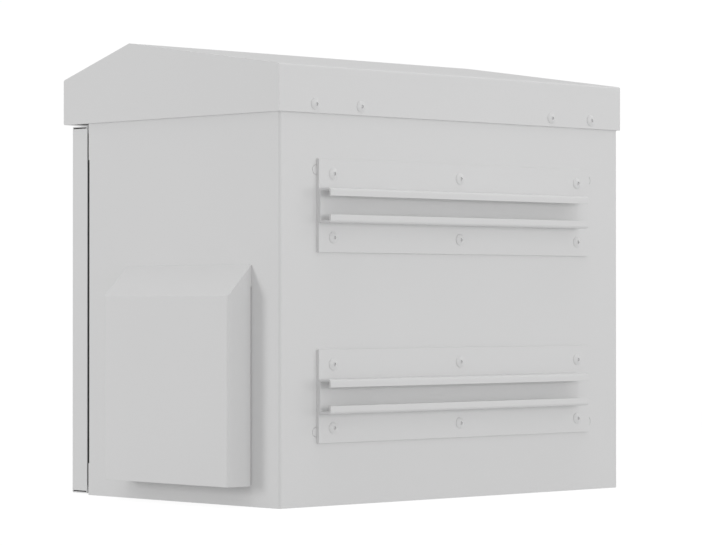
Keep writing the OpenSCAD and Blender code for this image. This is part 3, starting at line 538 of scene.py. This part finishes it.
def seal_foam():
    """Dark cellular rubber of the door's seal and the gasket."""
    soft = bpy.context.scene.cabinet_soft
    return surface(
        "Seal foam", "Foam cells", soft.rubber_color,
        roughness=0.82, variation=0.2, size=0.7 * MM, depth=0.08 * MM,
    )


def filter_fleece():
    """Pale fibre of the filter mat."""
    soft = bpy.context.scene.cabinet_soft
    return surface(
        "Filter fleece", "Fleece fibres", soft.fleece_color,
        roughness=0.92, variation=0.22, size=0.5 * MM, depth=0.4 * MM,
    )


# Pieces


def mesh_group(name, change):
    """A geometry node group, built once; change(tree, mesh) adds its nodes and returns the new mesh."""
    found = bpy.data.node_groups.get(name)
    if found:
        return found
    tree = bpy.data.node_groups.new(name, "GeometryNodeTree")
    for way in ("INPUT", "OUTPUT"):
        tree.interface.new_socket("Geometry", in_out=way, socket_type="NodeSocketGeometry")
    mesh = tree.nodes.new("NodeGroupInput").outputs["Geometry"]
    add_node(tree, "NodeGroupOutput", {"Geometry": change(tree, mesh)})
    return tree


def shade_smooth(tree, mesh):
    """Shades every face smooth."""
    return add_node(tree, "GeometryNodeSetShadeSmooth", {"Geometry": mesh}).outputs["Geometry"]


def mark_soft_edges(tree, mesh):
    """Marks a folded sheet's sharp edges, apart from those round the slivers of a fold relief."""
    angle = add_node(tree, "GeometryNodeInputMeshEdgeAngle").outputs["Unsigned Angle"]
    area = add_node(tree, "GeometryNodeInputMeshFaceArea").outputs["Area"]
    sharp = add_node(tree, "FunctionNodeCompare", {0: angle, 1: SHARP_ANGLE}, operation="GREATER_THAN")
    sliver = add_node(tree, "FunctionNodeCompare", {0: area, 1: SLIVER_AREA}, operation="LESS_THAN")
    beside = add_node(
        tree, "GeometryNodeFieldOnDomain", {0: sliver.outputs[0]}, data_type="BOOLEAN", domain="FACE"
    )
    soft = add_node(
        tree, "FunctionNodeBooleanMath", {0: sharp.outputs[0], 1: beside.outputs[0]}, operation="NIMPLY"
    )
    marked = add_node(
        tree, "GeometryNodeStoreNamedAttribute",
        {"Geometry": mesh, "Name": SOFT_EDGE, "Value": soft.outputs[0]},
        data_type="FLOAT", domain="EDGE",
    )
    return marked.outputs["Geometry"]


def soften(node, width, relief):
    """Rounds a CAD node's sharp edges with modifiers, so they catch the light as coated sheet does."""
    weld = node.modifiers.new("Join faces", "WELD")
    weld.merge_threshold = WELD_GAP
    flat = node.modifiers.new("Flat faces", "DECIMATE")
    flat.decimate_type = "DISSOLVE"
    flat.angle_limit = FLAT_ANGLE
    if relief:
        marks = node.modifiers.new("Marked edges", "NODES")
        marks.node_group = mesh_group("Soft edge marks", mark_soft_edges)
    edge = node.modifiers.new("Soft edges", "BEVEL")
    edge.width = width
    edge.segments = 2
    if relief:
        edge.limit_method = "WEIGHT"
        edge.edge_weight = SOFT_EDGE
    else:
        edge.limit_method = "ANGLE"
        edge.angle_limit = SHARP_ANGLE
    edge.use_clamp_overlap = False
    edge.loop_slide = False
    shade = node.modifiers.new("Smooth shading", "NODES")
    shade.node_group = mesh_group("Shade smooth", shade_smooth)
    normals = node.modifiers.new("Flat normals", "WEIGHTED_NORMAL")
    normals.weight = FLAT_WEIGHT


def dress(material, *names, edge=0.0, relief=False):
    """Gives CAD nodes a finish, and soft edges of radius edge; relief is for a sheet with fold reliefs."""
    for name in names:
        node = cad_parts[name]
        node.data.materials.clear()
        node.data.materials.append(material)
        if edge > 0:
            soften(node, edge, relief)


def new_piece(name, mesh, material, body, slot, *nodes):
    """A modelled piece that rides on a body and stands for CAD nodes."""
    mesh.normal_update()
    data = bpy.data.meshes.new(name)
    mesh.to_mesh(data)
    mesh.free()
    data.materials.append(material)
    data.shade_smooth()
    piece = bpy.data.objects.new(name, data)
    bpy.context.scene.collection.objects.link(piece)
    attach(piece, body)
    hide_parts(*nodes)
    return piece


def bridge(mesh, first, second):
    """Quads between two closed rings of vertices."""
    count = len(first)
    for i in range(count):
        j = (i + 1) % count
        mesh.faces.new((first[i], first[j], second[j], second[i]))


def lathe(profile, steps, spot):
    """Closed mesh from rings; spot(radius, height, angle) gives a point, and radius 0 ends the profile."""
    mesh = bmesh.new()
    rings = []
    for radius, height in profile:
        if radius == 0:
            rings.append([mesh.verts.new(spot(0, height, 0))])
            continue
        ring = [mesh.verts.new(spot(radius, height, FULL_TURN * i / steps)) for i in range(steps)]
        rings.append(ring)
    for first, second in zip(rings, rings[1:]):
        if len(first) == 1 or len(second) == 1:
            tip, ring = (first[0], second) if len(first) == 1 else (second[0], first)
            for i in range(steps):
                mesh.faces.new((tip, ring[i], ring[(i + 1) % steps]))
        else:
            bridge(mesh, first, second)
    bmesh.ops.recalc_face_normals(mesh, faces=mesh.faces)
    return mesh


def rounded_loop(half_u, half_v, radius, corner_steps=8):
    """Points and outward normals of a rounded rectangle's outline, as (u, v, nu, nv)."""
    loop = []
    for quarter in range(4):
        su = 1 if quarter in (0, 3) else -1
        sv = 1 if quarter in (0, 1) else -1
        for i in range(corner_steps + 1):
            angle = (quarter + i / corner_steps) * math.pi / 2
            nu, nv = math.cos(angle), math.sin(angle)
            loop.append((su * (half_u - radius) + radius * nu, sv * (half_v - radius) + radius * nv, nu, nv))
    return loop


def strip_mesh(loop, section, spot):
    """Closed strip: a section of (out, up) points swept round a loop; spot(u, v, up) gives a point."""
    mesh = bmesh.new()
    rings = []
    for out, up in section:
        rings.append([mesh.verts.new(spot(u + nu * out, v + nv * out, up)) for u, v, nu, nv in loop])
    for first, second in zip(rings, rings[1:] + rings[:1]):
        bridge(mesh, first, second)
    bmesh.ops.recalc_face_normals(mesh, faces=mesh.faces)
    return mesh


def crowned_section(width, height, steps=10):
    """Flat base, upright shoulders and a low crown, as foam strip has."""
    shoulder = 0.35 * height
    section = [(width / 2, 0), (-width / 2, 0)]
    for i in range(steps + 1):
        angle = math.pi * (1 - i / steps)
        # Powers under 1 make the crown fuller than an ellipse
        out = width / 2 * math.copysign(abs(math.cos(angle)) ** 0.6, math.cos(angle))
        section.append((out, shoulder + (height - shoulder) * math.sin(angle) ** 0.7))
    return section


def bulged_section(width, height, steps=6):
    """Flat faces and bulged sides, as a clamped gasket has."""
    section = []
    bulge = height / 3
    for side in (1, -1):
        for i in range(steps + 1):
            angle = math.pi * (i / steps - 0.5)
            out = side * (width / 2 - bulge + bulge * math.cos(angle))
            section.append((out, height / 2 * (1 + side * math.sin(angle))))
    return section


# Operators


class CABINET_OT_body(bpy.types.Operator):
    """Coats the folded body and its two pans"""

    bl_idname = "cabinet.body"
    bl_label = "Body"

    def execute(self, context):
        paint = context.scene.cabinet_paint
        dress(wall_paint(), "body_wrap")
        dress(wall_paint(), "base_pan", "top_pan", edge=paint.edge_round)
        return {"FINISHED"}


class CABINET_OT_roof(bpy.types.Operator):
    """Coats the gabled roof and its screws"""

    bl_idname = "cabinet.roof"
    bl_label = "Roof"

    def execute(self, context):
        paint = context.scene.cabinet_paint
        dress(wall_paint(), "roof_hood", edge=paint.edge_round)
        dress(screw_paint(), "roof_screws")
        dress(zinc_plate(), "roof_nuts")
        return {"FINISHED"}


class CABINET_OT_brackets(bpy.types.Operator):
    """Coats the wall brackets, their screws and the plugs beside them"""

    bl_idname = "cabinet.brackets"
    bl_label = "Wall brackets"

    def execute(self, context):
        paint = context.scene.cabinet_paint
        plates = ("bracket_plate_upper", "bracket_plate_lower")
        struts = ("strut_channel_upper", "strut_channel_lower")
        dress(wall_paint(), *plates, *struts, edge=paint.edge_round)
        dress(screw_paint(), "bracket_screws", "hole_plugs")
        dress(zinc_plate(), "bracket_nuts")
        return {"FINISHED"}


class CABINET_OT_vent_hood(bpy.types.Operator):
    """Coats the vent hood on the side wall"""

    bl_idname = "cabinet.vent_hood"
    bl_label = "Vent hood"

    def execute(self, context):
        paint = context.scene.cabinet_paint
        dress(wall_paint(), "vent_hood", edge=paint.edge_round, relief=True)
        dress(zinc_plate(), "hood_screws")
        return {"FINISHED"}


class CABINET_OT_fan(bpy.types.Operator):
    """Finishes the fan and its filter frame"""

    bl_idname = "cabinet.fan"
    bl_label = "Fan"

    def execute(self, context):
        paint = context.scene.cabinet_paint
        dress(fan_plastic(), "filter_frame", "fan_frame", "fan_rotor", edge=paint.edge_round)
        dress(zinc_plate(), "fan_guard", "fan_screws", "fan_nuts")
        return {"FINISHED"}


class CABINET_OT_filter(bpy.types.Operator):
    """Makes the tufted filter mat in its frame"""

    bl_idname = "cabinet.filter"
    bl_label = "Filter mat"

    def execute(self, context):
        soft = context.scene.cabinet_soft
        low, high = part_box("filter_mat")
        middle = (low + high) / 2
        radius = (high.z - low.z) / 2
        half = (high.x - low.x) / 2
        rings = 30
        steps = 120
        # Share of the dents that is fine fuzz, how much finer it is, and how the frame pinches the rim
        fuzz_share = 0.3
        fuzz_ratio = 4
        rim_pinch = 0.3
        rim_power = 8

        def spot(out, height, angle):
            point = middle + Vector((height, out * math.cos(angle), out * math.sin(angle)))
            tuft = (1 + noise.noise(point / soft.tuft_size)) / 2
            fuzz = (1 + noise.noise(point / (soft.tuft_size / fuzz_ratio))) / 2
            dent = soft.tuft_depth * ((1 - fuzz_share) * tuft + fuzz_share * fuzz)
            point.x -= math.copysign(dent, height)
            return point

        pinched = [half * (1 - rim_pinch * (i / rings) ** rim_power) for i in range(rings + 1)]
        face = [(radius * i / rings, pinched[i]) for i in range(rings + 1)]
        profile = face + [(r, -h) for r, h in reversed(face)]
        mesh = lathe(profile, steps, spot)
        mat = new_piece("filter_fleece", mesh, filter_fleece(), "cabinet", "filter_fleece", "filter_mat")
        return {"FINISHED"}


class CABINET_OT_rack(bpy.types.Operator):
    """Finishes the rack rails and the bearers that carry them"""

    bl_idname = "cabinet.rack"
    bl_label = "Rack"

    def execute(self, context):
        paint = context.scene.cabinet_paint
        bearers = [f"bearer_{side}_{level}" for side in ("left", "right") for level in ("upper", "lower")]
        rails = ("rack_rail_left", "rack_rail_right")
        dress(zinc_plate(), *bearers, *rails, edge=paint.edge_round)
        dress(zinc_plate(), "rail_screws", "rail_nuts")
        return {"FINISHED"}


class CABINET_OT_cable_entry(bpy.types.Operator):
    """Coats the blank gland plate and makes the gasket under it"""

    bl_idname = "cabinet.cable_entry"
    bl_label = "Cable entry"

    def execute(self, context):
        paint = context.scene.cabinet_paint
        soft = context.scene.cabinet_soft
        dress(wall_paint(), "gland_plate", edge=paint.edge_round)
        dress(zinc_plate(), "gland_screws")
        low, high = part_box("gland_seal")
        middle = (low + high) / 2
        inset = soft.gasket_width / 2
        loop = rounded_loop((high.x - low.x) / 2 - inset, (high.y - low.y) / 2 - inset, inset * CORNER_RATIO)
        section = bulged_section(soft.gasket_width, high.z - low.z)
        mesh = strip_mesh(loop, section, lambda u, v, up: (middle.x + u, middle.y + v, low.z + up))
        new_piece("gland_gasket", mesh, seal_foam(), "cabinet", "seal_rubber", "gland_seal")
        return {"FINISHED"}


class CABINET_OT_earth_point(bpy.types.Operator):
    """Makes the threaded earth stud and finishes its nut"""

    bl_idname = "cabinet.earth_point"
    bl_label = "Earth point"

    def execute(self, context):
        metal = context.scene.cabinet_metal
        dress(turned_steel(), "earth_nut")
        low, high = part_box("earth_stud")
        middle = (low + high) / 2
        foot_r = (high.x - low.x) / 2
        top = high.z - low.z
        pitch = metal.stud_pitch
        thread_r = metal.stud_radius
        depth = 0.5 * pitch
        tip_depth = 1.2 * depth
        chamfer = pitch
        foot_edge = 0.3 * MM
        # Rows of points in one turn of the thread, and points in a row
        turn_rows = 8
        steps = 36

        def spot(out, height, angle):
            if metal.stud_foot < height < top - chamfer and out > 0:
                phase = (height / pitch - angle / FULL_TURN) % 1.0
                out -= depth * (1 - abs(2 * phase - 1))
            return Vector((middle.x + out * math.cos(angle), middle.y + out * math.sin(angle), low.z + height))

        rows = int((top - chamfer - metal.stud_foot) / pitch * turn_rows)
        thread = [metal.stud_foot + (i + 0.5) * pitch / turn_rows for i in range(rows)]
        foot = [(0, 0), (foot_r - foot_edge, 0), (foot_r, foot_edge), (foot_r, metal.stud_foot - foot_edge)]
        foot += [(foot_r - foot_edge, metal.stud_foot), (thread_r - depth, metal.stud_foot)]
        shank = [(thread_r, height) for height in thread]
        tip = [(thread_r - depth, top - chamfer / 2), (thread_r - tip_depth, top), (0, top)]
        mesh = lathe(foot + shank + tip, steps, spot)
        new_piece("earth_stud_thread", mesh, turned_steel(), "cabinet", "bright_steel", "earth_stud")
        return {"FINISHED"}


class CABINET_OT_hinges(bpy.types.Operator):
    """Finishes the hinges, their pins and screws"""

    bl_idname = "cabinet.hinges"
    bl_label = "Hinges"

    def execute(self, context):
        metal = context.scene.cabinet_metal
        dress(zinc_plate(), "hinge_body_leaves", "hinge_door_leaves", edge=metal.hinge_edge)
        dress(zinc_plate(), "hinge_body_screws", "hinge_door_screws")
        dress(turned_steel(), "hinge_pins")
        return {"FINISHED"}


class CABINET_OT_door(bpy.types.Operator):
    """Coats the door pan and makes its foam seal"""

    bl_idname = "cabinet.door"
    bl_label = "Door"

    def execute(self, context):
        paint = context.scene.cabinet_paint
        soft = context.scene.cabinet_soft
        dress(wall_paint(), "door_panel", edge=paint.edge_round)
        low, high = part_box("door_seal")
        middle = (low + high) / 2
        inset = soft.seal_width / 2
        loop = rounded_loop((high.x - low.x) / 2 - inset, (high.z - low.z) / 2 - inset, inset * CORNER_RATIO)
        section = crowned_section(soft.seal_width, high.y - low.y)
        mesh = strip_mesh(loop, section, lambda u, v, up: (middle.x + u, low.y + up, middle.z + v))
        seal = new_piece("door_foam_seal", mesh, seal_foam(), "door", "seal_rubber", "door_seal")
        return {"FINISHED"}


class CABINET_OT_latches(bpy.types.Operator):
    """Finishes the two quarter-turn latches"""

    bl_idname = "cabinet.latches"
    bl_label = "Latches"

    def execute(self, context):
        metal = context.scene.cabinet_metal
        dress(zinc_plate(), "latch_barrels", "latch_nuts", edge=metal.latch_edge)
        for level in ("upper", "lower"):
            dress(zinc_plate(), f"latch_cam_{level}", edge=metal.latch_edge)
            dress(turned_steel(), f"latch_rotor_{level}", f"latch_screw_{level}")
        return {"FINISHED"}


# Stage


def seen_or_thrown(tree, seen, thrown):
    """One strength for what the camera sees, another for the light that reaches the cabinet."""
    camera = add_node(tree, "ShaderNodeLightPath").outputs["Is Camera Ray"]
    return spread(tree, camera, thrown, seen)


def floor_material(color, glow, fill):
    """Backlit pale floor, nearly free of shadow as in the photo."""
    material = surface(
        "Studio floor", "Powder coat", color, roughness=0.85, variation=0.004, size=4 * MM, depth=0.005 * MM,
        **{"Emission Color": (1, 1, 1, 1), "Specular IOR Level": 0.0},
    )
    tree = material.node_tree
    shader = next(node for node in tree.nodes if node.type == "BSDF_PRINCIPLED")
    tree.links.new(seen_or_thrown(tree, glow, fill), shader.inputs["Emission Strength"])
    return material


def studio_world(sky, backdrop):
    """Even white light all round; the camera sees a plain white backdrop."""
    world = bpy.data.worlds.new("Studio")
    world.use_nodes = True
    tree = world.node_tree
    tree.nodes.clear()
    white = add_node(
        tree, "ShaderNodeBackground", {"Color": (1, 1, 1, 1), "Strength": seen_or_thrown(tree, backdrop, sky)}
    )
    add_node(tree, "ShaderNodeOutputWorld", {"Surface": white.outputs["Background"]})
    bpy.context.scene.world = world


def soft_box(name, spot, width, height, power):
    """A rectangular area light that aims at the cabinet and isn't seen itself."""
    data = bpy.data.lights.new(name, "AREA")
    data.shape = "RECTANGLE"
    data.size = width
    data.size_y = height
    data.energy = power
    light = bpy.data.objects.new(name, data)
    light.location = spot
    light.rotation_euler = (Vector(LIGHT_AIM) - Vector(spot)).to_track_quat("-Z", "Y").to_euler()
    light.visible_camera = False
    bpy.context.scene.collection.objects.link(light)


class CABINET_OT_stage(bpy.types.Operator):
    """Sets the camera, the floor and the studio light"""

    bl_idname = "cabinet.stage"
    bl_label = "Stage"

    def execute(self, context):
        stage = context.scene.cabinet_stage
        data = bpy.data.cameras.new("Photo camera")
        data.lens = stage.lens
        data.sensor_width = SENSOR_WIDTH
        data.clip_end = SIGHT
        camera = bpy.data.objects.new("Photo camera", data)
        camera.location = stage.camera_place
        camera.rotation_euler = Vector(stage.camera_aim).to_track_quat("-Z", "Y").to_euler()
        context.scene.collection.objects.link(camera)
        context.scene.camera = camera

        mesh = bmesh.new()
        bmesh.ops.create_circle(mesh, cap_ends=True, segments=FLOOR_STEPS, radius=stage.floor_radius)
        data = bpy.data.meshes.new("studio_floor")
        mesh.to_mesh(data)
        mesh.free()
        data.materials.append(floor_material(stage.floor_color, stage.floor_glow, stage.floor_fill))
        floor = bpy.data.objects.new("studio_floor", data)
        floor.location.z = -stage.floor_drop
        context.scene.collection.objects.link(floor)

        studio_world(stage.sky, stage.backdrop)
        for name, spot, width, height, power in SOFT_BOXES:
            soft_box(name, spot, width, height, getattr(stage, power))
        context.scene.view_settings.view_transform = "Standard"
        return {"FINISHED"}


OPERATORS = (
    CABINET_OT_body, CABINET_OT_roof, CABINET_OT_brackets, CABINET_OT_vent_hood, CABINET_OT_fan,
    CABINET_OT_filter, CABINET_OT_rack, CABINET_OT_cable_entry, CABINET_OT_earth_point,
    CABINET_OT_hinges, CABINET_OT_door, CABINET_OT_latches, CABINET_OT_stage,
)

SETTINGS = {
    "cabinet_paint": PaintSettings,
    "cabinet_metal": MetalSettings,
    "cabinet_soft": SoftSettings,
    "cabinet_stage": StageSettings,
}


class CABINET_PT_panel(bpy.types.Panel):
    """Lists the operators and their settings"""

    bl_idname = "CABINET_PT_panel"
    bl_label = "Wall rack cabinet"
    bl_space_type = "VIEW_3D"
    bl_region_type = "UI"
    bl_category = "Cabinet"

    def draw(self, context):
        for operator in OPERATORS:
            self.layout.operator(operator.bl_idname)
        for name, group in SETTINGS.items():
            box = self.layout.box()
            for prop in group.__annotations__:
                box.prop(getattr(context.scene, name), prop)


def register():
    """Makes the settings, operators and panel known to Blender."""
    for group in SETTINGS.values():
        bpy.utils.register_class(group)
    for name, group in SETTINGS.items():
        setattr(bpy.types.Scene, name, PointerProperty(type=group))
    for operator in OPERATORS:
        bpy.utils.register_class(operator)
    bpy.utils.register_class(CABINET_PT_panel)


def unregister():
    """Takes the settings, operators and panel away again."""
    bpy.utils.unregister_class(CABINET_PT_panel)
    for operator in reversed(OPERATORS):
        bpy.utils.unregister_class(operator)
    for name in SETTINGS:
        delattr(bpy.types.Scene, name)
    for group in reversed(SETTINGS.values()):
        bpy.utils.unregister_class(group)


def main():
    """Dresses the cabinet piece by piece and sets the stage."""
    register()
    for operator in OPERATORS:
        family, call = operator.bl_idname.split(".")
        getattr(getattr(bpy.ops, family), call)()


if __name__ == "__main__":
    main()
